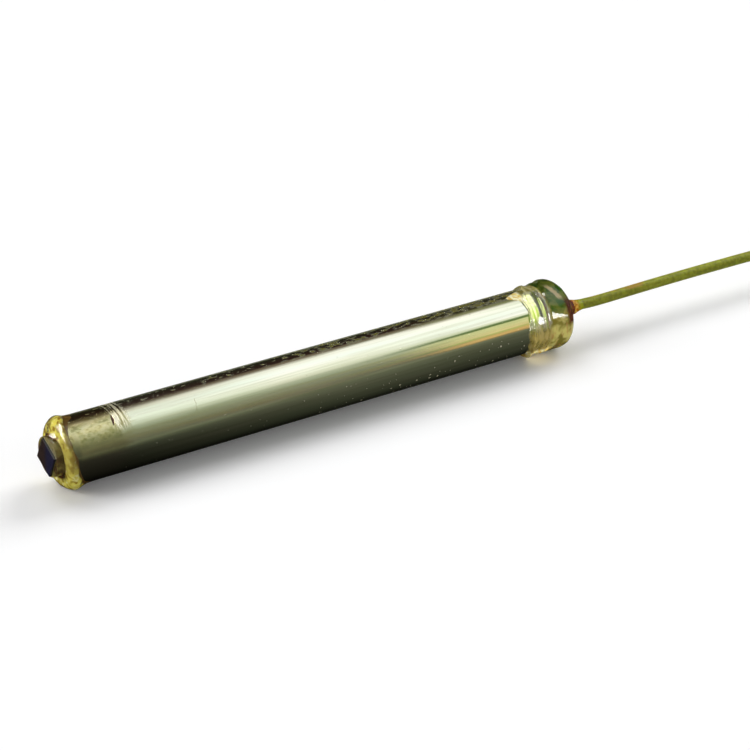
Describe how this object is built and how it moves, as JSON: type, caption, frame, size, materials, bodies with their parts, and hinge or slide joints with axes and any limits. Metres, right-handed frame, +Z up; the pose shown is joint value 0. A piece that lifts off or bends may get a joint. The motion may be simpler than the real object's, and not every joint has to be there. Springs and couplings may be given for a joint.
{
  "type": "fiber optic pressure sensor",
  "caption": "Miniature sensor head: a metal sleeve with a silicon pressure chip on a glass ferrule at one end and a coated optical fiber with an end plug at the other.",
  "frame": {"origin": "on the sleeve's axis, in the plane of its front rim, behind the chip", "axes": "+X along the sleeve from the chip towards the fiber, +Z up from the surface that the sensor lies on"},
  "size_m": [0.0805, 0.0244, 0.0035],
  "materials": {
    "sleeve_metal": "polished, with fine lengthwise streaks",
    "ferrule_glass": "tinted, smooth",
    "fiber_core": "clear",
    "adhesive": "cured, smooth",
    "chip_glass": "sawn edges",
    "silicon": "polished, near black",
    "yellow_resin": "glossy, lumpy",
    "amber_resin": "glossy, ridged",
    "clear_resin": "glossy, clear olive",
    "brown_tube": "glossy",
    "orange_resin": "glossy",
    "fiber_coat": "satin, with orange patches",
    "tie_film": "matte",
    "boot_rubber": "matte",
    "plug_metal": "satin",
    "plug_ceramic": "polished"
  },
  "bodies": {
    "root": {"sleeve": "sleeve_metal", "ferrule": "ferrule_glass", "fiber_glass": "fiber_core", "die_bond": "adhesive", "die_glass": "chip_glass", "die_silicon": "silicon", "front_bead": "yellow_resin", "rear_collar": "amber_resin", "rear_dome": "clear_resin", "relief_tube": "brown_tube", "fiber_held": "fiber_coat", "fiber_fillet": "orange_resin", "fiber_lead": "fiber_coat", "fiber_coil": "fiber_coat", "coil_ties": "tie_film", "fiber_tail": "fiber_coat", "plug_boot": "boot_rubber", "plug_body": "plug_metal", "plug_ferrule": "plug_ceramic", "plug_buffer": "fiber_coat", "plug_glass": "fiber_core"}
  },
  "joints": []
}
